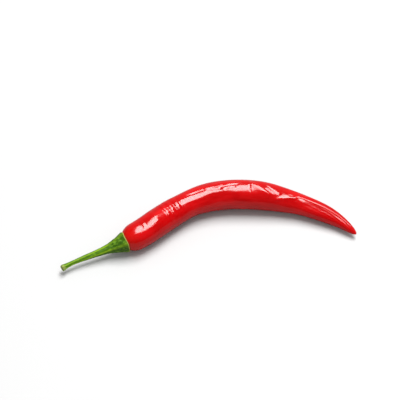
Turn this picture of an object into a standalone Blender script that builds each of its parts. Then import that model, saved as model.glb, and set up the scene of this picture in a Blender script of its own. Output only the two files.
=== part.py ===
"""A long red chilli, picked and lying on its side: the pod, the calyx that caps it and the stem.

Metres, +Z up. The origin is under the middle of the chilli, on the surface it lies on. Its stem
points towards -X and its tip towards +X. The pod bends in the lying plane, its back towards +Y.

All three pieces are turned shapes, drawn straight along X and bent onto one shared spine, so a
distance along a piece is a distance along the spine, counted from the stem's cut end.
"""

import math

import bpy
from mathutils import Vector

MM = 0.001

# Driving dimensions
POD_LENGTH = 125 * MM  # along the spine, from the calyx's rim to the tip
POD_RADIUS = 7.45 * MM  # at its thickest
CALYX_LENGTH = 10.5 * MM  # from its neck to its rim
RIM_RADIUS = 5.15 * MM  # the calyx's rim
NECK_RADIUS = 2.05 * MM  # where the stem widens into the calyx
STEM_LENGTH = 22.5 * MM  # from the cut end to the calyx's neck
STEM_RADIUS = 1.2 * MM  # at its thinnest
GAP = 0.3 * MM  # between pieces that touch

# Stations along the spine, from the cut end
NECK = STEM_LENGTH
RIM = NECK + CALYX_LENGTH
TIP = RIM + POD_LENGTH

# The crown of the pod, under the calyx, is a quarter of an ellipse
CROWN_DEPTH = 7.2 * MM
CROWN_HEIGHT = 1.8 * MM  # how far it reaches up inside the calyx
SHOULDER = RIM + CROWN_DEPTH - CROWN_HEIGHT
NOSE_LENGTH = 6 * MM  # the rounded end of the tip, a paraboloid
NOSE = TIP - NOSE_LENGTH

# (share of the way from the shoulder to the nose, share of the pod's radius)
POD_SHAPE = (
    (0, 0.93),
    (0.06, 0.935),
    (0.12, 0.95),
    (0.19, 0.955),
    (0.28, 0.92),
    (0.37, 0.96),
    (0.45, 0.995),
    (0.54, 1),
    (0.63, 0.945),
    (0.7, 0.84),
    (0.77, 0.72),
    (0.83, 0.665),
    (0.89, 0.6),
    (0.93, 0.515),
    (0.965, 0.42),
    (1, 0.325),
)
# (share of the calyx's length from its neck, share of the way from neck radius to rim radius)
CALYX_FLARE = ((0.0, 0.0), (0.2, 0.10), (0.4, 0.28), (0.6, 0.50), (0.8, 0.74), (1.0, 1.0))
RIBS = 5
RIB_HEIGHT = 0.22 * MM
RIM_THICKNESS = 0.35 * MM
# (share of the stem's length from the cut end, share of the stem's thinnest radius)
STEM_SHAPE = (
    (0.00, 1.10),
    (0.04, 1.22),
    (0.10, 1.12),
    (0.20, 1.00),
    (0.40, 1.02),
    (0.60, 1.14),
    (0.80, 1.34),
    (1.00, NECK_RADIUS / STEM_RADIUS),
)

# How the spine lies: (share of its length from the cut end, heading in degrees from +X to +Y)
HEADINGS = (
    (0.00, 38),
    (0.04, 28),
    (0.09, 22),
    (0.14, 23),
    (0.19, 23),
    (0.25, 34),
    (0.32, 43),
    (0.39, 38),
    (0.46, 28),
    (0.53, 12),
    (0.60, 1),
    (0.67, -6),
    (0.75, -13),
    (0.83, -22),
    (0.90, -29),
    (0.95, -42),
    (1.00, -48),
)
# (share of its length, height of the spine over the surface)
HEIGHTS = (
    (0.00, 3.60 * MM),
    (0.07, 4.10 * MM),
    (0.14, 5.20 * MM),
    (0.21, 6.50 * MM),
    (0.25, 6.95 * MM),
    (0.33, 7.20 * MM),
    (0.42, 7.20 * MM),
    (0.52, 7.25 * MM),
    (0.60, 7.45 * MM),
    (0.68, 7.25 * MM),
    (0.76, 6.15 * MM),
    (0.83, 5.10 * MM),
    (0.90, 4.25 * MM),
    (0.95, 3.60 * MM),
    (1.00, 3.00 * MM),
)

SPINE_STEP = 1.0 * MM
POD_STEP = 2.4 * MM
CALYX_STEP = CALYX_LENGTH / 9
STEM_STEP = 1.2 * MM
ARC_POINTS = 7  # along the crown, and along the nose
HOLLOW_POINTS = 3 * ARC_POINTS  # along the hollow that fits the crown
SIDES = 30
MERGE_DISTANCE = 0.01 * MM  # points on the axis closer than this become one
SHARP_ANGLE = 50  # degrees, above which the calyx's edges aren't shaded smooth


def smooth(stations, at):
    """The value at a place along (place, value) stations, on a curve that passes through them all."""
    last = len(stations) - 1
    i = next((k for k in range(last) if at <= stations[k + 1][0]), last - 1)
    (x0, y0), (x1, y1) = stations[i], stations[i + 1]

    def slope(k):
        (xa, ya), (xb, yb) = stations[max(k - 1, 0)], stations[min(k + 1, last)]
        return (yb - ya) / (xb - xa)

    width = x1 - x0
    t = min(max((at - x0) / width, 0.0), 1.0)
    rise = y1 - y0
    ease = t * t * (3 - 2 * t)
    lean = t * (1 - t) ** 2 * slope(i) - t * t * (1 - t) * slope(i + 1)
    return y0 + rise * ease + width * lean


def steps(start, end, longest):
    """Evenly spaced places from start to end, both included, no further apart than longest."""
    count = max(1, math.ceil((end - start) / longest))
    return [start + (end - start) * k / count for k in range(count + 1)]


def quarter(count):
    """Angles over a quarter turn, from 0 up to but not including a right angle."""
    return [math.pi / 2 * k / count for k in range(count)]


def crown_radius(along):
    """The pod's radius between the top of its crown and its shoulder."""
    share = (SHOULDER - along) / CROWN_DEPTH
    return POD_SHAPE[0][1] * POD_RADIUS * math.sqrt(max(0.0, 1 - share * share))


def pod_profile():
    """(distance along the spine, radius) down the pod's outside, from the crown to the tip."""
    crown = [SHOULDER - CROWN_DEPTH * math.cos(a) for a in quarter(ARC_POINTS)]
    points = [(along, crown_radius(along)) for along in crown]
    for along in steps(SHOULDER, NOSE, POD_STEP):
        share = (along - SHOULDER) / (NOSE - SHOULDER)
        points.append((along, POD_RADIUS * smooth(POD_SHAPE, share)))
    nose_radius = points[-1][1]
    for k in range(ARC_POINTS - 1, -1, -1):
        share = k / ARC_POINTS
        points.append((TIP - NOSE_LENGTH * share * share, nose_radius * share))
    return points


def calyx_profile():
    """The calyx's outside from its neck to its rim, then back along its hollow, which fits the crown."""
    points = [(NECK, 0.0)]
    for along in steps(NECK, RIM, CALYX_STEP):
        flare = smooth(CALYX_FLARE, (along - NECK) / CALYX_LENGTH)
        points.append((along, NECK_RADIUS + (RIM_RADIUS - NECK_RADIUS) * flare))
    hollow = [SHOULDER - (CROWN_DEPTH + GAP) * math.cos(a) for a in quarter(HOLLOW_POINTS)]
    inside = [(along, crown_radius(along + GAP) + GAP) for along in hollow if along < RIM]
    lip = RIM_RADIUS - RIM_THICKNESS
    inside = [point for point in inside if point[1] < lip]
    points += reversed([point for point in inside if point[0] > hollow[0]])
    return points + [(hollow[0], 0.0)]


def stem_profile():
    """The stem's outside, from the cut end to the calyx's neck."""
    end = NECK - GAP
    points = [(0.0, 0.0)]
    for along in steps(0.0, end, STEM_STEP):
        points.append((along, STEM_RADIUS * smooth(STEM_SHAPE, along / end)))
    return points + [(end, 0.0)]


def make_material(name, colour, roughness):
    material = bpy.data.materials.new(name)
    material.use_nodes = True
    shader = material.node_tree.nodes["Principled BSDF"]
    shader.inputs["Base Color"].default_value = (*colour, 1.0)
    shader.inputs["Roughness"].default_value = roughness
    shader.inputs["Metallic"].default_value = 0.0
    return material


def make_spine(collection):
    """The guide curve that the pieces bend onto, from the cut end to the tip."""
    places = steps(0.0, TIP, SPINE_STEP)
    step = places[1]
    point = Vector((0.0, 0.0, smooth(HEIGHTS, 0.0)))
    points = [point]
    for before, after in zip(places, places[1:]):
        heading = math.radians(smooth(HEADINGS, (before + after) / 2 / TIP))
        climb = smooth(HEIGHTS, after / TIP) - smooth(HEIGHTS, before / TIP)
        level = math.sqrt(step * step - climb * climb)
        point = point + Vector((level * math.cos(heading), level * math.sin(heading), climb))
        points.append(point)
    curve = bpy.data.curves.new("spine", "CURVE")
    curve.dimensions = "3D"
    spline = curve.splines.new("POLY")
    spline.points.add(len(points) - 1)
    for target, source in zip(spline.points, points):
        target.co = (*source, 1.0)
    spine = bpy.data.objects.new("spine", curve)
    spine.hide_render = True
    spine.display_type = "WIRE"
    collection.objects.link(spine)
    return spine


def turned(name, profile, material, collection):
    """A solid turned round X from a profile of (distance along X, radius)."""
    mesh = bpy.data.meshes.new(name)
    edges = [(k, k + 1) for k in range(len(profile) - 1)]
    mesh.from_pydata([(along, radius, 0.0) for along, radius in profile], edges, [])
    mesh.materials.append(material)
    piece = bpy.data.objects.new(name, mesh)
    collection.objects.link(piece)
    screw = piece.modifiers.new("Turn", "SCREW")
    screw.axis = "X"
    screw.steps = SIDES
    screw.render_steps = SIDES
    screw.use_merge_vertices = True
    screw.merge_threshold = MERGE_DISTANCE
    screw.use_normal_flip = True
    screw.use_smooth_shade = True
    return piece


def flute(piece):
    """Raises the calyx's ribs, which run from its neck and end as blunt teeth at its rim."""
    graph = bpy.context.evaluated_depsgraph_get()
    mesh = bpy.data.meshes.new_from_object(piece.evaluated_get(graph))
    piece.modifiers.clear()
    piece.data = mesh
    for vertex in mesh.vertices:
        along, y, z = vertex.co
        radius = math.hypot(y, z)
        share = (along - NECK) / CALYX_LENGTH
        outside = NECK_RADIUS + (RIM_RADIUS - NECK_RADIUS) * smooth(CALYX_FLARE, share)
        if radius < outside - RIM_THICKNESS / 2:
            continue
        crest = math.cos(RIBS * math.atan2(z, y))
        scale = 1 + RIB_HEIGHT * crest * share / radius
        vertex.co = (along, y * scale, z * scale)
    mesh.set_sharp_from_angle(angle=math.radians(SHARP_ANGLE))


def bend(piece, spine):
    """Bends a straight piece onto the spine."""
    follow = piece.modifiers.new("Bend", "CURVE")
    follow.object = spine
    follow.deform_axis = "POS_X"


def bounds(pieces):
    """The lowest and highest corners of the pieces together, in world space."""
    graph = bpy.context.evaluated_depsgraph_get()
    corners = []
    for piece in pieces:
        shown = piece.evaluated_get(graph)
        mesh = shown.to_mesh()
        corners += [shown.matrix_world @ vertex.co for vertex in mesh.vertices]
        shown.to_mesh_clear()
    low = Vector([min(corner[k] for corner in corners) for k in range(3)])
    high = Vector([max(corner[k] for corner in corners) for k in range(3)])
    return low, high


def main():
    for old in list(bpy.data.objects):
        bpy.data.objects.remove(old)
    chilli = bpy.data.collections.new("chilli")
    guides = bpy.data.collections.new("guides")
    bpy.context.scene.collection.children.link(chilli)
    bpy.context.scene.collection.children.link(guides)

    spine = make_spine(guides)
    red = make_material("red_skin", (0.62, 0.004, 0.006), 0.22)
    green = make_material("calyx_green", (0.07, 0.20, 0.015), 0.5)
    light_green = make_material("stem_green", (0.19, 0.36, 0.03), 0.45)
    pod = turned("pod", pod_profile(), red, chilli)
    calyx = turned("calyx", calyx_profile(), green, chilli)
    stem = turned("stem", stem_profile(), light_green, chilli)
    bpy.context.view_layer.update()
    flute(calyx)
    pieces = (pod, calyx, stem)

    lying = bpy.data.objects.new("lying_place", None)
    chilli.objects.link(lying)
    for piece in (spine, *pieces):
        piece.parent = lying
    for piece in pieces:
        bend(piece, spine)
    bpy.context.view_layer.update()
    low, high = bounds(pieces)
    lying.location = (-(low.x + high.x) / 2, -(low.y + high.y) / 2, -low.z)


main()
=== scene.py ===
"""The looks of a long red chilli pepper that lies on a pale surface under a softbox.

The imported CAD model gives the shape: its spine and the radii of its pod, calyx and stem are read
from its solids. Fine skins are then laid on that shape, with the dents, creases, ribs and ridges
that the real fruit has. All places on the chilli are given as (along, around): the distance along
the spine in millimetres, counted from the calyx's rim towards the tip, and the angle round the
spine in degrees, 0 on top and 90 on the side that faces the camera.
"""

import math

import bpy
import numpy as np
from mathutils import Matrix, Vector
from mathutils.bvhtree import BVHTree


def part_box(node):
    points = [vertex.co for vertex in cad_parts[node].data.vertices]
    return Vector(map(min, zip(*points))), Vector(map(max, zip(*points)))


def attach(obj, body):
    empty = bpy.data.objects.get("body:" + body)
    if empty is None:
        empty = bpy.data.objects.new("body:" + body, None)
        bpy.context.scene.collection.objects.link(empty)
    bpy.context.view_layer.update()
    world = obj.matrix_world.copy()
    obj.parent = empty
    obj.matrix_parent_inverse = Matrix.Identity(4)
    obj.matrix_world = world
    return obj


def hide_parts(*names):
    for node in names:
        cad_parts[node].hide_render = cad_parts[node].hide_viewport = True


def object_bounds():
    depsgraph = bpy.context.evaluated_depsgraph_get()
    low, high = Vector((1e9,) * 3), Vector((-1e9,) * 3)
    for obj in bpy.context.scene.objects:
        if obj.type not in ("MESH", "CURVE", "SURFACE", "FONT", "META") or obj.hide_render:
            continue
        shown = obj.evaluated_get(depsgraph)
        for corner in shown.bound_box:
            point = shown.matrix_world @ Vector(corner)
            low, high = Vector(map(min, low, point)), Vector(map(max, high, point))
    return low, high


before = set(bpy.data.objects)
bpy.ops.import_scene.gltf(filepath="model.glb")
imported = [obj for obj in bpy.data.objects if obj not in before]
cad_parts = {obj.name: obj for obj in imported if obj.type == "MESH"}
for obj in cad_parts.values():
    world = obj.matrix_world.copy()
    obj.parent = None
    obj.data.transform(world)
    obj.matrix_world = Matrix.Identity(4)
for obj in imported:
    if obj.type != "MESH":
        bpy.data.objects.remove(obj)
cad_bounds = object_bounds()

MM = 0.001
UP = Vector((0.0, 0.0, 1.0))

# How the CAD solids are read. Everything is worked out in millimetres, and put in metres at the end.
REACH = 12.0  # rays start this far from the spine, outside every piece
RAYS = 53  # a prime, so that few rays run along the edges between the CAD's faces
CENTRINGS = 4  # how often the middle of a section is found again, each time from a better guess
WALK = 0.5  # the step along the spine
TURNING = 0.12  # the share of each bend that the heading follows, per step
GAP = 4  # so many missing points in a row end a walk
SETTLINGS = 3  # how often the whole spine is centred again
SPINE_MARGIN = 4.0  # how far the spine is carried on past both ends
SPINE_SMOOTHING = 3.0
RADIUS_STEP = 0.2
POD_SMOOTHING = 1.6
STALK_SMOOTHING = 0.7
END_SPAN = 3  # the slope at an end is taken over so many steps
RIM_SPAN = 5  # and so many at the calyx's rim

# How fine the skins are
POD_RINGS = 620
POD_SIDES = 144
STALK_SIDES = 120
STEM_RING_STEP = 0.14
CALYX_RINGS = 110
CALYX_INSIDE_RINGS = 16
RIM_RINGS = 4
CUT_RINGS = 16


# Reading the shape from the CAD solids


def tree_of(*nodes):
    """A search tree over the faces of CAD nodes, in millimetres."""
    corners = []
    faces = []
    for node in nodes:
        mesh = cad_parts[node].data
        first = len(corners)
        corners += [vertex.co / MM for vertex in mesh.vertices]
        faces += [[first + k for k in face.vertices] for face in mesh.polygons]
    return BVHTree.FromPolygons(corners, faces)


def directions_across(tangent):
    """Unit vectors all round the spine."""
    up = (UP - UP.dot(tangent) * tangent).normalized()
    front = tangent.cross(up)
    turns = [2 * math.pi * (k + 0.5) / RAYS for k in range(RAYS)]
    return [up * math.cos(turn) + front * math.sin(turn) for turn in turns]


def radii_at(tree, centre, directions):
    """The outermost surface's distance from the centre in each direction, or None if a ray misses."""
    radii = []
    for direction in directions:
        start = centre + direction * REACH
        hit, _, _, distance = tree.ray_cast(start, -direction, REACH)
        if hit is None:
            return None
        radii.append(REACH - distance)
    return radii


def centred(tree, centre, tangent):
    """The middle of the section across a tangent near a point, or None where the section is missing."""
    directions = directions_across(tangent)
    for _ in range(CENTRINGS):
        radii = radii_at(tree, centre, directions)
        if radii is None:
            return None
        shift = sum((d * r for d, r in zip(directions, radii)), Vector())
        centre = centre + shift * (2 / RAYS)
    return centre


def walk(tree, start, heading):
    """Points along the middle of a bent round body, from inside it to where it ends.

    A few missing points are bridged in a straight line, because there are gaps between the pieces.
    The heading turns slowly, so that it stays steady where the body flares.
    """
    points = []
    ahead = start
    missing = 0
    while missing < GAP:
        centre = centred(tree, ahead, heading)
        missing = missing + 1 if centre is None else 0
        if points and not missing:
            turned = (centre - points[-1]).normalized()
            heading = heading.lerp(turned, TURNING).normalized()
        points.append(ahead if missing else centre)
        ahead = points[-1] + heading * WALK
    return points[:-missing]


def smoothed(values, step, width):
    """Values averaged over a bell. Past both ends, they are taken to go on in a straight line."""
    reach = math.ceil(3 * width / step)
    offsets = np.arange(-reach, reach + 1) * step
    weights = np.exp(-0.5 * (offsets / width) ** 2)
    weights /= weights.sum()
    first_slope = (values[END_SPAN] - values[0]) / END_SPAN
    last_slope = (values[-1] - values[-1 - END_SPAN]) / END_SPAN
    before = values[0] + first_slope * np.arange(-reach, 0)
    after = values[-1] + last_slope * np.arange(1, reach + 1)
    return np.convolve(np.concatenate([before, values, after]), weights, mode="valid")


class Spine:
    """The line through the middle of the chilli, with a place 0 at the calyx's rim."""

    def __init__(self):
        whole = tree_of("pod", "calyx", "stem")
        low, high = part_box("stem")
        middle = (low + high) / (2 * MM)
        heading = Vector((high.x - low.x, high.y - low.y, 0)).normalized()
        points = walk(whole, middle, -heading)[:0:-1] + walk(whole, middle, heading)
        self.lay(points)
        for _ in range(SETTLINGS):
            sections = [(Vector(p), Vector(t)) for p, t in zip(self.points, self.tangents)]
            found = [(centred(whole, point, tangent), point) for point, tangent in sections]
            self.lay([old if new is None else new for new, old in found])
        self.extend(SPINE_MARGIN)
        self.places -= self.reach_of("calyx")[1]

    def lay(self, points):
        """Takes a smoothed line through rough points as the spine."""
        rough = np.array([tuple(point) for point in points])
        self.points = np.stack([smoothed(column, WALK, SPINE_SMOOTHING) for column in rough.T], axis=1)
        self.measure()

    def extend(self, length):
        """Carries the spine on past both ends in a straight line, so that it outreaches every piece."""
        steps = np.arange(WALK, length, WALK)[:, None]
        before = self.points[0] - steps[::-1] * self.tangents[0]
        after = self.points[-1] + steps * self.tangents[-1]
        self.points = np.concatenate([before, self.points, after])
        self.measure()

    def measure(self):
        """Works out the places and the tangents of the spine's points."""
        gaps = np.linalg.norm(np.diff(self.points, axis=0), axis=1)
        self.places = np.concatenate([[0.0], np.cumsum(gaps)])
        tangents = np.gradient(self.points, self.places, axis=0)
        self.tangents = tangents / np.linalg.norm(tangents, axis=1, keepdims=True)

    def between(self, places, rows):
        """Vectors at an array of places, from one vector at each of the spine's points."""
        return np.stack([np.interp(places, self.places, column) for column in rows.T], axis=-1)

    def at(self, places):
        """Centres, tangents, up and front vectors at an array of places."""
        centres = self.between(places, self.points)
        tangents = self.between(places, self.tangents)
        tangents /= np.linalg.norm(tangents, axis=-1, keepdims=True)
        ups = np.array(UP) - tangents[..., 2:3] * tangents
        ups /= np.linalg.norm(ups, axis=-1, keepdims=True)
        fronts = np.cross(tangents, ups)
        return centres, tangents, ups, fronts

    def radii(self, node):
        """Places and mean radii of one CAD node along the spine."""
        tree = tree_of(node)
        places = np.arange(self.places[0], self.places[-1], RADIUS_STEP)
        centres, tangents, _, _ = self.at(places)
        found = []
        for place, centre, tangent in zip(places, centres, tangents):
            directions = directions_across(Vector(tangent))
            radii = radii_at(tree, Vector(centre), directions)
            if radii is not None:
                found.append((place, sum(radii) / RAYS))
        return np.array(found)

    def reach_of(self, node):
        """The first and the last place of a CAD node."""
        found = self.radii(node)
        return found[0, 0], found[-1, 0]


spine = Spine()


# Shaping skins round the spine


def bell(values, middle, width):
    """1 in the middle, a third at a width from it, and next to nothing at two widths."""
    return np.exp(-(((values - middle) / width) ** 2))


def ramp(values, start, end):
    """0 before start, 1 after end, and smooth between them."""
    share = np.clip((values - start) / (end - start), 0.0, 1.0)
    return share * share * (3 - 2 * share)


def angle_from(around, middle):
    """Degrees from an angle round the spine, between -180 and 180."""
    return (around - middle + 180.0) % 360.0 - 180.0


def unevenness(along, around, seed, wavelength, lobes, waves=14):
    """A smooth random height, mostly between -1 and 1, that closes on itself round the spine."""
    random = np.random.default_rng(seed)
    height = np.zeros(np.broadcast(along, around).shape)
    for _ in range(waves):
        frequency = random.uniform(0.35, 1.0) * 2 * math.pi / wavelength
        turns = random.integers(-lobes, lobes + 1)
        phase = random.uniform(0, 2 * math.pi)
        height += np.sin(frequency * along + turns * np.radians(around) + phase)
    return height / math.sqrt(waves)


def angles_round(sides):
    """Angles round the spine, one for each side of a skin."""
    return (np.arange(sides) * 360.0 / sides - 180.0)[None, :]


def surface(along, around, radius):
    """Points round the spine, in millimetres, and the same points with the spine pulled straight."""
    centres, _, ups, fronts = spine.at(along)
    turns = np.radians(around)
    up_part = (radius * np.cos(turns))[..., None]
    front_part = (radius * np.sin(turns))[..., None]
    points = centres + ups * up_part + fronts * front_part
    straight = np.concatenate([along[..., None], up_part, front_part], axis=-1)
    return points, straight


def grid_normals(points):
    """Outward normals of rings of points."""
    along = np.gradient(points, axis=0)
    around = np.roll(points, -1, axis=1) - np.roll(points, 1, axis=1)
    normals = np.cross(around, along)
    return normals / np.maximum(np.linalg.norm(normals, axis=-1, keepdims=True), 1e-12)


def with_ends(rings):
    """A list of the values at all points of the rings, between the means of the two end rings."""
    values = rings.reshape(-1, *rings.shape[2:])
    return np.concatenate([rings[:1].mean(axis=1), values, rings[-1:].mean(axis=1)])


def grid_faces(rings, sides):
    """The faces of a skin, with its two ends, and where their corners lie on the unrolled skin."""
    strips = [(j, (j + 1) % sides, j / sides, (j + 1) / sides) for j in range(sides)]
    last = 1 + rings * sides
    faces = []
    spots = []
    for a, b, left, right in strips:
        faces.append((0, 1 + b, 1 + a))
        spots += [((left + right) / 2, 0.0), (right, 0.5 / rings), (left, 0.5 / rings)]
    for i in range(rings - 1):
        near, far = 1 + i * sides, 1 + (i + 1) * sides
        low, high = (i + 0.5) / rings, (i + 1.5) / rings
        for a, b, left, right in strips:
            faces.append((near + a, near + b, far + b, far + a))
            spots += [(left, low), (right, low), (right, high), (left, high)]
    for a, b, left, right in strips:
        faces.append((last, last - sides + a, last - sides + b))
        spots += [((left + right) / 2, 1.0), (left, 1 - 0.5 / rings), (right, 1 - 0.5 / rings)]
    return faces, spots


def make_skin(name, points, straight, marks, normals=None):
    """A closed mesh from rings of points, each end of which closes on its own middle.

    Marks are named numbers at each point, for the materials.
    """
    faces, spots = grid_faces(*points.shape[:2])
    mesh = bpy.data.meshes.new(name)
    mesh.from_pydata((with_ends(points) * MM).tolist(), [], faces)
    mesh.uv_layers.new(name="OFBake").data.foreach_set("uv", np.array(spots, np.float32).ravel())
    places = with_ends(straight).astype(np.float32)
    mesh.attributes.new("straight", "FLOAT_VECTOR", "POINT").data.foreach_set("vector", places.ravel())
    for mark, numbers in marks.items():
        values = with_ends(numbers).astype(np.float32)
        mesh.attributes.new(mark, "FLOAT", "POINT").data.foreach_set("value", values)
    mesh.shade_smooth()
    if normals is not None:
        mesh.normals_split_custom_set_from_vertices(with_ends(normals))
    piece = bpy.data.objects.new(name, mesh)
    bpy.context.scene.collection.objects.link(piece)
    return piece


# The pod


def pod_radius_profile():
    """Places and squared radii of the pod, from its crown's top to its tip.

    The square of the radius is what is smoothed, because it runs straight into a round end.
    """
    found = spine.radii("pod")
    squares = smoothed(found[:, 1] ** 2, RADIUS_STEP, POD_SMOOTHING)
    start_slope = (squares[END_SPAN] - squares[0]) / (END_SPAN * RADIUS_STEP)
    end_slope = (squares[-1] - squares[-1 - END_SPAN]) / (END_SPAN * RADIUS_STEP)
    start = found[0, 0] - squares[0] / start_slope
    end = found[-1, 0] - squares[-1] / end_slope
    places = np.concatenate([[start], found[:, 0], [end]])
    return places, np.concatenate([[0.0], squares, [0.0]])


pod_profile = pod_radius_profile()


def pod_radius(along):
    return np.sqrt(np.interp(along, *pod_profile))


def pod_rings():
    """Places of the pod's rings, spread evenly over its outline, its round ends included."""
    start, end = pod_profile[0][0], pod_profile[0][-1]
    samples = 8 * POD_RINGS
    share = (1 - np.cos(np.linspace(0, math.pi, samples))) / 2
    places = start + (end - start) * share
    outline = np.hypot(np.diff(places), np.diff(pod_radius(places)))
    travelled = np.concatenate([[0.0], np.cumsum(outline)])
    return np.interp(np.linspace(0, travelled[-1], POD_RINGS + 2)[1:-1], travelled, places)


# The saddle before the pod's bend: heights of the skin in mm at places along it. It rises a little,
# falls into a dip and climbs out over three short ridges that lie across the pod.
SADDLE = (
    (12.0, 0.00), (17.3, 0.24), (22.7, -0.76),
    (23.10, -0.58), (23.85, -0.49), (25.70, -0.81),
    (26.00, -0.64), (27.00, -0.53), (28.80, -0.87),
    (29.20, -0.66), (30.60, -0.50), (32.10, -0.74),
    (32.50, -0.60), (38.0, -0.25), (46.0, 0.00),
)
SADDLE_ROUNDING = 0.20  # mm, over which its corners are rounded
SADDLE_MIDDLE = 9.0  # degrees round the spine
SADDLE_WIDTH = 50.0  # degrees to each side of that

# Folds in the pod's skin: (start along, start around, end along, end around, width on the right, width
# on the left, height). Right and left are those of a walk on the skin from its start to its end. The
# widths and the height are in mm, and the height is below zero for a groove.
FOLDS = (
    # two nicks across the shoulder
    (9.4, -10, 9.1, 20, 0.50, 0.40, -0.11),
    (11.7, -9, 11.4, 14, 0.45, 0.36, -0.09),
    # fine folds along the back of the bend
    (37.0, -9, 45.0, -6, 0.50, 0.35, 0.10),
    (40.0, 2, 46.0, 3, 0.40, 0.40, -0.08),
    (41.0, -16, 52.0, -13, 0.45, 0.35, 0.11),
    (47.0, -3, 55.0, -7, 0.35, 0.45, 0.12),
    (49.0, 8, 54.0, 12, 0.38, 0.38, -0.15),
    (52.0, -16, 62.0, -18, 0.45, 0.35, 0.13),
    (54.5, 4, 62.0, -2, 0.42, 0.35, -0.16),
    (57.0, 13, 61.0, 9, 0.35, 0.35, -0.12),
    (58.0, -9, 65.0, -13, 0.40, 0.40, 0.12),
    # the crack across the bend, and two slanted folds beyond it
    (68.2, -4, 68.7, 22, 0.55, 0.38, -0.06),
    (69.0, -16, 78.0, 29, 2.20, 0.50, 0.34),
    (76.4, -12, 82.6, 15, 0.46, 0.42, 0.18),
    (76.5, -22, 84.0, -2, 0.50, 0.50, 0.06),
    (82.6, 42, 90.6, 11, 0.90, 0.85, 0.28),
    # the long fine folds along the top of the last third
    (92.5, -2, 124.0, -17, 0.45, 0.60, 0.20),
    (92.0, -22, 120.0, -30, 0.35, 0.40, 0.10),
    (96.0, -34, 122.0, -44, 0.35, 0.35, 0.08),
)

FOLD_TAPER = 2.0  # how many of its widths a fold takes to fade out past its ends
# A groove's depth sets how much shade is painted into it.
FULL_CREASE = 0.1  # the depth in mm at which a groove is as dark as it gets

# Hollows and flats in the pod: (along, around, half length in mm, half width in degrees, depth in mm).
# Those after the first five are on the underside and the back.
HOLLOWS = (
    (10.5, 9, 7.0, 30, 0.34),
    (66.0, 22, 5.0, 26, 0.16),
    (84.0, -12, 6.8, 30, 0.60),
    (88.0, 52, 8.0, 26, 0.16),
    (101.5, 26, 13.0, 30, 0.66),
    (39.0, 118, 6.0, 38, 0.35),
    (31.5, -75, 9.0, 40, 0.20),
    (62.0, 150, 14.0, 40, 0.25),
    (100.0, 140, 10.0, 40, 0.20),
    (84.0, -120, 12.0, 40, 0.25),
    (48.0, -140, 10.0, 35, 0.22),
)

# The pod's soft unevenness, in mm: a slow swell and a ripple, which calm down between two places
# towards the tip, and a fine grain. The skin as a whole is sunk, which keeps it inside the CAD's box.
SWELL = 0.10
RIPPLE = 0.022
GRAIN = 0.015
CALM_FROM, CALM_TO = 86, 98
CALM = 0.7
SINK = 0.12
POINTED = 2.0  # the relief fades out where the pod's radius is smaller than this


def fold(along, across, start, end, right, left, height):
    """The height of a raised or sunken line on the unrolled skin."""
    line = np.array(end) - np.array(start)
    length = math.hypot(*line)
    line = line / length
    forward = (along - start[0]) * line[0] + (across - start[1]) * line[1]
    aside = (along - start[0]) * line[1] - (across - start[1]) * line[0]
    beyond = np.maximum(np.maximum(-forward, forward - length), 0.0)
    width = np.where(aside < 0, right, left)
    taper = FOLD_TAPER * min(right, left)
    return height * np.exp(-((aside / width) ** 2) - (beyond / taper) ** 2)


def smoothed_column(values, along, width):
    """A column of values, smoothed over a width along the spine."""
    step = 0.05
    even = np.arange(along[0, 0], along[-1, 0], step)
    smooth = smoothed(np.interp(even, along[:, 0], values[:, 0]), step, width)
    return np.interp(along, even, smooth)


def pod_relief(along, around, radius):
    """How far the skin stands off the smooth pod, in millimetres, and how deep its grooves are, for the
    shade painted into them.
    """
    calm = 1 - CALM * ramp(along, CALM_FROM, CALM_TO)
    relief = SWELL * unevenness(along, around, seed=3, wavelength=26, lobes=2) * calm
    relief += RIPPLE * unevenness(along, around, seed=4, wavelength=9, lobes=5) * calm
    relief += GRAIN * unevenness(along, around, seed=6, wavelength=14, lobes=22, waves=28)
    relief -= SINK
    saddle = smoothed_column(np.interp(along, *zip(*SADDLE)), along, SADDLE_ROUNDING)
    relief += saddle * bell(angle_from(around, SADDLE_MIDDLE), 0, SADDLE_WIDTH)
    for middle, angle, length, width, depth in HOLLOWS:
        relief -= depth * bell(along, middle, length) * bell(angle_from(around, angle), 0, width)
    crease_shade = np.zeros(relief.shape)
    across = np.radians(angle_from(around, 0)) * radius
    for start_along, start_around, end_along, end_around, right, left, height in FOLDS:
        start = (start_along, math.radians(start_around) * float(pod_radius(start_along)))
        end = (end_along, math.radians(end_around) * float(pod_radius(end_along)))
        raised = fold(along, across, start, end, right, left, height)
        relief += raised
        # how deep each groove is, which sets the shade painted into it
        crease_shade += np.maximum(-raised, 0.0) / FULL_CREASE
    return relief, np.clip(crease_shade, 0.0, 1.0)


def make_pod():
    along = pod_rings()[:, None]
    around = angles_round(POD_SIDES)
    radius = pod_radius(along)
    relief, crease_shade = pod_relief(along, around, radius)
    fade = np.minimum(1.0, radius / POINTED)
    along, around, radius = np.broadcast_arrays(along, around, radius + relief * fade)
    points, straight = surface(along, around, radius)
    return make_skin("pod_skin", points, straight, {"crease_shade": crease_shade})


# The calyx and the stem, one skin that is parted at the neck

# Its ribs run on from the stem over the calyx, and end in the calyx's teeth.
RIBS = 5
RIB_TWIST = 1.2  # degrees per mm along the stalk
RIB_TURN = 20  # degrees
FLARE_FROM, FLARE_TO = -11.5, -5  # places between which the stem turns into the calyx

RIB_SHARPNESS = 1.5
FINE_RIB_SHARPNESS = 3
RIB_LEVEL = 0.35  # the share of a rib that is level with the smooth stalk
FINE_RIB_LEVEL = 0.2
RIM_FADE = 0.55  # the share of the ribs' height that is lost at the rim
RIM_FADE_FROM, RIM_FADE_TO = -2.0, 0.3

# Heights of the stalk's relief, in mm
STEM_RIB = 0.10
CALYX_RIB = 0.24
CALYX_FINE_RIB = 0.13
STALK_GRAIN = 0.025
STEM_ROUGHNESS = 0.02
CALYX_ROUGHNESS = 0.07

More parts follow.
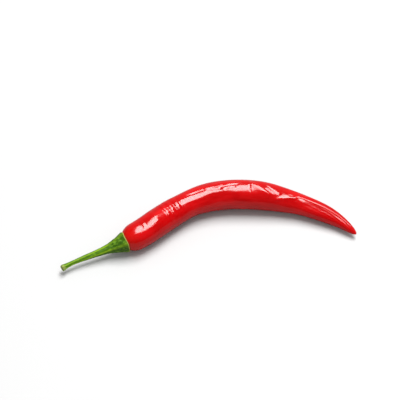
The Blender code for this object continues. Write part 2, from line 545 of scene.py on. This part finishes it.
# Pits between the calyx's ribs, and the lumps on the cut end, in mm
PIT_DEPTH = 0.34
PIT_THRESHOLD = 0.35  # a hollow in the unevenness only becomes a pit past this
PIT_MIDDLE, PIT_SPREAD = -3.4, 3.0
LUMP_HEIGHT = 0.10
LUMP_SPREAD = 1.6

# The swollen cut end and the dip next to it: (distance from the cut, half length, height), in mm
SWELLINGS = ((0.8, 1.1, 0.20), (6.0, 4.0, -0.13))

# The calyx's rim and the stem's cut end, in mm
RIM_REACH = 0.10  # how far the rim reaches over the pod
TEETH = 0.24  # how much further it does so at the ends of its ribs
RIM_RAGGEDNESS = 0.07
RIM_THICKNESS = 0.18  # at least
POD_CLEARANCE = 0.05  # between the calyx's inside and the smooth pod
CROWN_CLEARANCE = 0.15  # and how far below the pod's very top that inside closes
CUT_INSET = 0.15  # keeps the cut end inside the CAD's box
CUT_HOLLOW = 0.30
CUT_ROUGHNESS = 0.07
RIM_TINT = 0.45  # how far the rim's colour reaches from its edge
CUT_TINT_FROM, CUT_TINT_TO = 0.3, 2.2  # where the cut's colour fades out along the stem


def stalk_radius_profile():
    """Places and radii of the stem and the calyx, from the cut end to the rim."""
    found = np.concatenate([spine.radii("stem"), spine.radii("calyx")])
    places = np.arange(found[0, 0], found[-1, 0] + RADIUS_STEP, RADIUS_STEP)
    return places, smoothed(np.interp(places, found[:, 0], found[:, 1]), RADIUS_STEP, STALK_SMOOTHING)


stalk_profile = stalk_radius_profile()
cut_end = stalk_profile[0][0]
neck = spine.reach_of("calyx")[0]


def stalk_radius(along):
    """The stalk's smooth radius, which flares on past the rim."""
    places, radii = stalk_profile
    slope = (radii[-1] - radii[-1 - RIM_SPAN]) / (places[-1] - places[-1 - RIM_SPAN])
    return np.interp(along, places, radii) + slope * np.maximum(along - places[-1], 0.0)


def rib_shares(along, around):
    """How much each point belongs to a main rib, and to a finer rib between two main ones."""
    turned = np.radians(RIBS * (around + RIB_TWIST * along + RIB_TURN))
    main = ((1 + np.cos(turned)) / 2) ** RIB_SHARPNESS
    fine = ((1 - np.cos(turned)) / 2) ** FINE_RIB_SHARPNESS
    return main, fine


def stalk_relief(along, around):
    """How far the skin stands off the smooth stalk, in mm, and how much of a rib or a pit it is."""
    flare = ramp(along, FLARE_FROM, FLARE_TO)
    rim_fade = 1 - RIM_FADE * ramp(along, RIM_FADE_FROM, RIM_FADE_TO)
    main_rib, fine_rib = rib_shares(along, around)
    relief = (STEM_RIB + CALYX_RIB * flare * rim_fade) * (main_rib - RIB_LEVEL)
    relief += CALYX_FINE_RIB * flare * rim_fade * (fine_rib - FINE_RIB_LEVEL)
    relief += STALK_GRAIN * unevenness(along, around, seed=14, wavelength=9, lobes=9, waves=20)
    roughness = unevenness(along, around, seed=11, wavelength=2.6, lobes=8, waves=20)
    relief += (STEM_ROUGHNESS + CALYX_ROUGHNESS * flare) * roughness
    pits = unevenness(along, around, seed=12, wavelength=3.4, lobes=7, waves=20)
    pits = np.clip(pits - PIT_THRESHOLD, 0, 1) * bell(along, PIT_MIDDLE, PIT_SPREAD) * (1 - main_rib)
    relief -= PIT_DEPTH * pits
    for distance, length, height in SWELLINGS:
        relief += height * bell(along, cut_end + distance, length)
    lumps = unevenness(along, around, seed=13, wavelength=3.0, lobes=3)
    relief += LUMP_HEIGHT * lumps * bell(along, cut_end, LUMP_SPREAD)
    # The rib and pit shares also set the painted highlight on the ribs and the painted shade in the
    # pits.
    rib = main_rib * (0.8 + 0.2 * flare) + 0.5 * fine_rib * flare
    return relief, np.clip(rib, 0, 1), np.clip(1.6 * pits, 0, 1)


def cut_face(start, around, edge_radius):
    """Places and radii of the rings on the stem's cut end, which is rough and a little hollow."""
    share = np.linspace(0.05, 0.94, CUT_RINGS)[:, None]
    roughness = unevenness(3 * share, around, seed=16, wavelength=2.0, lobes=3)
    places = start + CUT_HOLLOW * (1 - share ** 3) + CUT_ROUGHNESS * roughness * (1 - share ** 4)
    return places, edge_radius * share


def rounded_rim(rim, upper, lower):
    """Places and radii of the rings over the calyx's rim, from its outside to its inside."""
    turn = np.linspace(0.2, 0.8, RIM_RINGS)[:, None] * math.pi
    places = rim + 0.3 * (upper - lower) * np.sin(turn)
    return places, (upper + lower) / 2 + (upper - lower) / 2 * np.cos(turn)


def make_stalk():
    """The stem and the calyx, with the same normals on both sides of the neck."""
    around = angles_round(STALK_SIDES)
    start = cut_end + CUT_INSET
    rim = RIM_REACH + TEETH * rib_shares(0, around)[0]
    rim = rim + RIM_RAGGEDNESS * unevenness(0, around, seed=15, wavelength=5, lobes=11)

    stem_along = np.arange(start, neck, STEM_RING_STEP)[:, None] + 0 * around
    calyx_along = neck + (rim - neck) * np.linspace(0, 1, CALYX_RINGS)[:, None]
    outer_along = np.concatenate([stem_along, calyx_along])
    relief, rib, pit = stalk_relief(outer_along, around)
    outer_radius = stalk_radius(outer_along) + relief

    lower = pod_radius(rim) + POD_CLEARANCE
    upper = np.maximum(outer_radius[-1:], lower + RIM_THICKNESS)
    outer_radius[-1:] = upper
    face_along, face_radius = cut_face(start, around, outer_radius[:1])
    edge_along, edge_radius = rounded_rim(rim, upper, lower)

    crown = pod_profile[0][0] + CROWN_CLEARANCE
    inner_along = crown + (rim - crown) * np.linspace(1, 0, CALYX_INSIDE_RINGS)[:, None]
    inner_radius = pod_radius(inner_along) + POD_CLEARANCE
    along = np.concatenate([face_along, outer_along, edge_along, inner_along])
    radius = np.concatenate([face_radius, outer_radius, edge_radius, inner_radius])
    points, straight = surface(along, np.broadcast_to(around, along.shape), radius)
    normals = grid_normals(points)

    first, last = len(face_along), len(face_along) + len(outer_along)
    marks = {name: np.zeros(along.shape) for name in ("rib", "pit", "rim", "cut")}
    marks["rib"][first:last] = rib
    marks["pit"][first:last] = pit
    marks["rim"][first:last] = 1 - ramp(rim - outer_along, 0.0, RIM_TINT)
    marks["rim"][last:] = 1
    marks["cut"][:first] = 1
    marks["cut"][first:last] = 1 - ramp(outer_along, start + CUT_TINT_FROM, start + CUT_TINT_TO)

    parting = first + len(stem_along)
    pieces = []
    for name, rings in (("stem_skin", slice(0, parting + 1)), ("calyx_skin", slice(parting, None))):
        part_marks = {mark: numbers[rings] for mark, numbers in marks.items()}
        pieces.append(make_skin(name, points[rings], straight[rings], part_marks, normals[rings]))
    return pieces


# Materials

# Colours as shares of red, green and blue light. The later ones are laid over the earlier ones.
DEEP_RED = (0.34, 0.0004, 0.0009)
BRIGHT_RED = (0.43, 0.0008, 0.0016)
STREAK_RED = (0.46, 0.004, 0.004)
SPECK_RED = (0.50, 0.006, 0.005)
WARM_RED = (0.47, 0.009, 0.0015)
# Painted shade in the pod's creases
CREASE_SHADE_RED = (0.30, 0.001, 0.001)

STEM_GREEN = (0.054, 0.140, 0.0005)
CALYX_GREEN = (0.022, 0.074, 0.001)
FIBRE_GREEN = (0.035, 0.100, 0.0015)
BLOTCH_GREEN = (0.13, 0.27, 0.010)
# The ribs' paler green is partly a painted highlight, and the pits' dark green is painted shade.
RIB_HIGHLIGHT_GREEN = (0.25, 0.40, 0.005)
PIT_SHADE_GREEN = (0.018, 0.065, 0.003)
RIM_STRAW = (0.32, 0.29, 0.07)
CUT_GREEN = (0.24, 0.33, 0.07)
CUT_BROWN = (0.10, 0.065, 0.025)

FLOOR_WHITE = (0.44, 0.44, 0.44)
MIRRORED_FLOOR = (0.20, 0.17, 0.17)

POD_IOR = 1.44
STALK_IOR = 1.27


class Nodes:
    """The nodes of a material or a world."""

    def __init__(self, owner):
        owner.use_nodes = True
        self.nodes = owner.node_tree.nodes
        self.links = owner.node_tree.links

    def put(self, socket, value):
        """Sets a socket to a number or a colour, or links it to an output."""
        if isinstance(value, bpy.types.NodeSocket):
            self.links.new(value, socket)
        elif isinstance(value, tuple):
            socket.default_value = (*value, 1) if len(socket.default_value) == 4 else value
        else:
            socket.default_value = value

    def ramp(self, value, low, high, start=0.0, end=1.0):
        """Goes from start to end while the value goes from low to high."""
        node = self.nodes.new("ShaderNodeMapRange")
        node.interpolation_type = "SMOOTHSTEP"
        self.put(node.inputs["Value"], value)
        self.put(node.inputs["From Min"], low)
        self.put(node.inputs["From Max"], high)
        self.put(node.inputs["To Min"], start)
        self.put(node.inputs["To Max"], end)
        return node.outputs["Result"]

    def reckoned(self, operation, first, second):
        node = self.nodes.new("ShaderNodeMath")
        node.operation = operation
        self.put(node.inputs[0], first)
        self.put(node.inputs[1], second)
        return node.outputs[0]

    def plus(self, first, second):
        return self.reckoned("ADD", first, second)

    def times(self, first, second):
        return self.reckoned("MULTIPLY", first, second)

    def blend(self, share, first, second):
        """A mix of two colours."""
        node = self.nodes.new("ShaderNodeMix")
        node.data_type = "RGBA"
        self.put(node.inputs[0], share)
        self.put(node.inputs[6], first)
        self.put(node.inputs[7], second)
        return node.outputs[2]


class Material(Nodes):
    """A material whose marks and noise are laid out in the pulled-straight chilli's millimetres."""

    def __init__(self, name):
        self.material = bpy.data.materials.new(name)
        super().__init__(self.material)
        self.shader = self.nodes["Principled BSDF"]

    def mark(self, name, output="Fac"):
        node = self.nodes.new("ShaderNodeAttribute")
        node.attribute_name = name
        return node.outputs[output]

    def along(self):
        node = self.nodes.new("ShaderNodeSeparateXYZ")
        self.put(node.inputs[0], self.mark("straight", "Vector"))
        return node.outputs["X"]

    def noise(self, length, width, detail=2.0, shift=0.0):
        """Noise with a grain of so many millimetres along the chilli and across it."""
        place = self.nodes.new("ShaderNodeVectorMath")
        place.operation = "MULTIPLY_ADD"
        self.put(place.inputs[0], self.mark("straight", "Vector"))
        self.put(place.inputs[1], (1 / length, 1 / width, 1 / width))
        self.put(place.inputs[2], (shift, shift, shift))
        node = self.nodes.new("ShaderNodeTexNoise")
        self.put(node.inputs["Vector"], place.outputs[0])
        self.put(node.inputs["Scale"], 1.0)
        self.put(node.inputs["Detail"], detail)
        return node.outputs["Fac"]

    def finish(self, colour, roughness, height, depth, ior):
        """Joins it all to the shader. A height from 0 to 1 stands for a bump of so many mm in depth."""
        bump = self.nodes.new("ShaderNodeBump")
        self.put(bump.inputs["Height"], height)
        self.put(bump.inputs["Distance"], depth * MM)
        self.put(self.shader.inputs["Normal"], bump.outputs["Normal"])
        self.put(self.shader.inputs["Base Color"], colour)
        self.put(self.shader.inputs["Roughness"], roughness)
        self.put(self.shader.inputs["IOR"], ior)
        return self.material


def red_material():
    """A waxy red skin: mottled, faintly streaked lengthwise, with shade painted into its creases,
    warmer at the calyx.
    """
    skin = Material("red_skin")
    mottle = skin.noise(11.0, 4.0, detail=3.0)
    streaks = skin.noise(14.0, 0.9, detail=2.0, shift=7.0)
    grain = skin.noise(0.7, 0.5, detail=3.0, shift=3.0)
    colour = skin.blend(skin.ramp(mottle, 0.3, 0.7), DEEP_RED, BRIGHT_RED)
    for share, tint in (
        (skin.ramp(streaks, 0.5, 0.8, 0.0, 0.30), STREAK_RED),
        (skin.ramp(grain, 0.62, 0.8, 0.0, 0.35), SPECK_RED),
        (skin.ramp(skin.along(), 0.0, 7.0, 0.30, 0.0), WARM_RED),
        # painted shade: darker red in the creases
        (skin.times(skin.mark("crease_shade"), 0.45), CREASE_SHADE_RED),
    ):
        colour = skin.blend(share, colour, tint)
    dullness = skin.plus(grain, skin.ramp(mottle, 0.3, 0.7, -0.1, 0.1))
    roughness = skin.ramp(dullness, 0.3, 0.7, 0.12, 0.20)
    height = skin.plus(skin.times(streaks, 0.8), skin.times(grain, 0.25))
    return skin.finish(colour, roughness, height, depth=0.04, ior=POD_IOR)


def green_material(name):
    """The stalk's green: bright on the stem, paler on the ribs with a painted highlight, with painted
    shade in the pits, pale at the rim and the cut.
    """
    skin = Material(name)
    fibres = skin.noise(5.0, 0.45, detail=3.0)
    blotches = skin.noise(1.8, 0.9, detail=3.0, shift=5.0)
    grain = skin.noise(0.35, 0.25, detail=2.0, shift=9.0)
    flare = skin.ramp(skin.along(), -12.0, -4.5)
    rib_highlight_strength = skin.ramp(flare, 0.0, 1.0, 0.75, 0.2)
    colour = skin.blend(flare, STEM_GREEN, CALYX_GREEN)
    for share, tint in (
        (skin.ramp(fibres, 0.40, 0.62, 0.65, 0.0), FIBRE_GREEN),
        (skin.ramp(blotches, 0.50, 0.66, 0.0, 0.55), BLOTCH_GREEN),
        # paler green on the ribs, partly a painted highlight
        (skin.times(skin.ramp(skin.mark("rib"), 0.35, 0.95), rib_highlight_strength), RIB_HIGHLIGHT_GREEN),
        # painted shade: dark green in the pits
        (skin.ramp(skin.mark("pit"), 0.05, 0.7, 0.0, 0.9), PIT_SHADE_GREEN),
        (skin.ramp(skin.mark("rim"), 0.3, 1.0, 0.0, 0.75), RIM_STRAW),
        (skin.ramp(skin.mark("cut"), 0.1, 0.8, 0.0, 0.85), CUT_GREEN),
    ):
        colour = skin.blend(share, colour, tint)
    stain = skin.times(skin.mark("cut"), skin.ramp(blotches, 0.42, 0.60))
    colour = skin.blend(skin.times(stain, 0.75), colour, CUT_BROWN)
    roughness = skin.ramp(grain, 0.3, 0.7, 0.36, 0.52)
    height = skin.plus(skin.times(fibres, 0.7), skin.times(grain, 0.3))
    return skin.finish(colour, roughness, height, depth=0.09, ior=STALK_IOR)


def floor_material():
    """A plain white board, with a trace of unevenness in its gloss.

    It mirrors darker in the glossy skins than it looks, as a table crowded with red fruit would.
    """
    board = Material("floor_white")
    place = board.nodes.new("ShaderNodeTexCoord")
    speck = board.nodes.new("ShaderNodeTexNoise")
    board.put(speck.inputs["Vector"], place.outputs["Object"])
    board.put(speck.inputs["Scale"], 60.0)
    path = board.nodes.new("ShaderNodeLightPath")
    white = board.blend(path.outputs["Is Glossy Ray"], FLOOR_WHITE, MIRRORED_FLOOR)
    board.put(board.shader.inputs["Base Color"], white)
    board.put(board.shader.inputs["Roughness"], board.ramp(speck.outputs["Fac"], 0.3, 0.7, 0.59, 0.61))
    return board.material


# The stage

FLOOR_HALF = 1.5
AMBIENT_STRENGTH = 0.78
# What glossy skins mirror of the room: dark in front, and up to this bright behind
MIRRORED_STRENGTH = 0.3
MIRRORED_FROM, MIRRORED_TO = 0.3, 1.0  # how far back a direction points, from 0 to 1

CAMERA_DISTANCE = 0.70
CAMERA_ELEVATION = math.radians(50)
LENS = 131.6
SENSOR_WIDTH = 36
# How far the chilli's middle sits from the picture's middle, in metres
RIGHT_OF_MIDDLE = 0.0046
BELOW_MIDDLE = 0.0111


def make_floor():
    mesh = bpy.data.meshes.new("floor")
    corners = [(x * FLOOR_HALF, y * FLOOR_HALF, 0) for x, y in ((-1, -1), (1, -1), (1, 1), (-1, 1))]
    mesh.from_pydata(corners, [], [(0, 1, 2, 3)])
    mesh.materials.append(floor_material())
    floor = bpy.data.objects.new("floor", mesh)
    bpy.context.scene.collection.objects.link(floor)


def make_world():
    """Soft white light from all round. Glossy skins mirror it as a room that is dark in front."""
    world = bpy.data.worlds.new("studio")
    bpy.context.scene.world = world
    studio = Nodes(world)
    place = studio.nodes.new("ShaderNodeTexCoord")
    split = studio.nodes.new("ShaderNodeSeparateXYZ")
    studio.put(split.inputs[0], place.outputs["Generated"])
    back = split.outputs["Y"]
    path = studio.nodes.new("ShaderNodeLightPath")
    strength = studio.nodes.new("ShaderNodeMix")
    studio.put(strength.inputs["Factor"], path.outputs["Is Glossy Ray"])
    studio.put(strength.inputs["A"], AMBIENT_STRENGTH)
    mirrored = studio.ramp(back, MIRRORED_FROM, MIRRORED_TO, 0.0, MIRRORED_STRENGTH)
    studio.put(strength.inputs["B"], mirrored)
    background = studio.nodes["Background"]
    studio.put(background.inputs["Color"], (1, 1, 1))
    studio.put(background.inputs["Strength"], strength.outputs["Result"])


# The softbox, which hangs over the chilli, a little behind it and to the right
LIGHT_BACK = math.radians(14.5)
LIGHT_RIGHT = math.radians(10.0)
LIGHT_DISTANCE = 1.5
LIGHT_SIZE = (0.62, 1.13)
LIGHT_RADIANCE = 17.5


def make_light():
    light = bpy.data.lights.new("softbox", "AREA")
    light.shape = "RECTANGLE"
    light.size, light.size_y = LIGHT_SIZE
    light.energy = LIGHT_RADIANCE * math.pi * LIGHT_SIZE[0] * LIGHT_SIZE[1]
    away = Vector((
        math.sin(LIGHT_RIGHT),
        math.sin(LIGHT_BACK) * math.cos(LIGHT_RIGHT),
        math.cos(LIGHT_BACK) * math.cos(LIGHT_RIGHT),
    ))
    right = Vector((math.cos(LIGHT_RIGHT), 0, 0)) - Vector((0, away.y, away.z)) * math.tan(LIGHT_RIGHT)
    right.normalize()
    lamp = bpy.data.objects.new("softbox", light)
    lamp.location = away * LIGHT_DISTANCE
    lamp.rotation_euler = Matrix((right, away.cross(right), away)).transposed().to_euler()
    bpy.context.scene.collection.objects.link(lamp)


def make_camera():
    low, high = cad_bounds
    middle = (Vector(low) + Vector(high)) / 2
    towards = Vector((0, -math.cos(CAMERA_ELEVATION), math.sin(CAMERA_ELEVATION)))
    above = Vector((0, math.sin(CAMERA_ELEVATION), math.cos(CAMERA_ELEVATION)))
    aim = middle + Vector((-RIGHT_OF_MIDDLE, 0, 0)) + above * BELOW_MIDDLE
    camera = bpy.data.objects.new("camera", bpy.data.cameras.new("camera"))
    camera.data.lens = LENS
    camera.data.sensor_width = SENSOR_WIDTH
    camera.location = aim + towards * CAMERA_DISTANCE
    camera.rotation_euler = (math.pi / 2 - CAMERA_ELEVATION, 0, 0)
    bpy.context.scene.collection.objects.link(camera)
    bpy.context.scene.camera = camera
    bpy.context.scene.view_settings.view_transform = "Standard"


def main():
    pod = make_pod()
    stem, calyx = make_stalk()
    pod.data.materials.append(red_material())
    stem.data.materials.append(green_material("stem_green"))
    calyx.data.materials.append(green_material("calyx_green"))
    for piece, node, slot in (
        (pod, "pod", "red_skin"),
        (calyx, "calyx", "calyx_green"),
        (stem, "stem", "stem_green"),
    ):
        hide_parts(node)
        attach(piece, "root")
    make_floor()
    make_world()
    make_light()
    make_camera()


main()
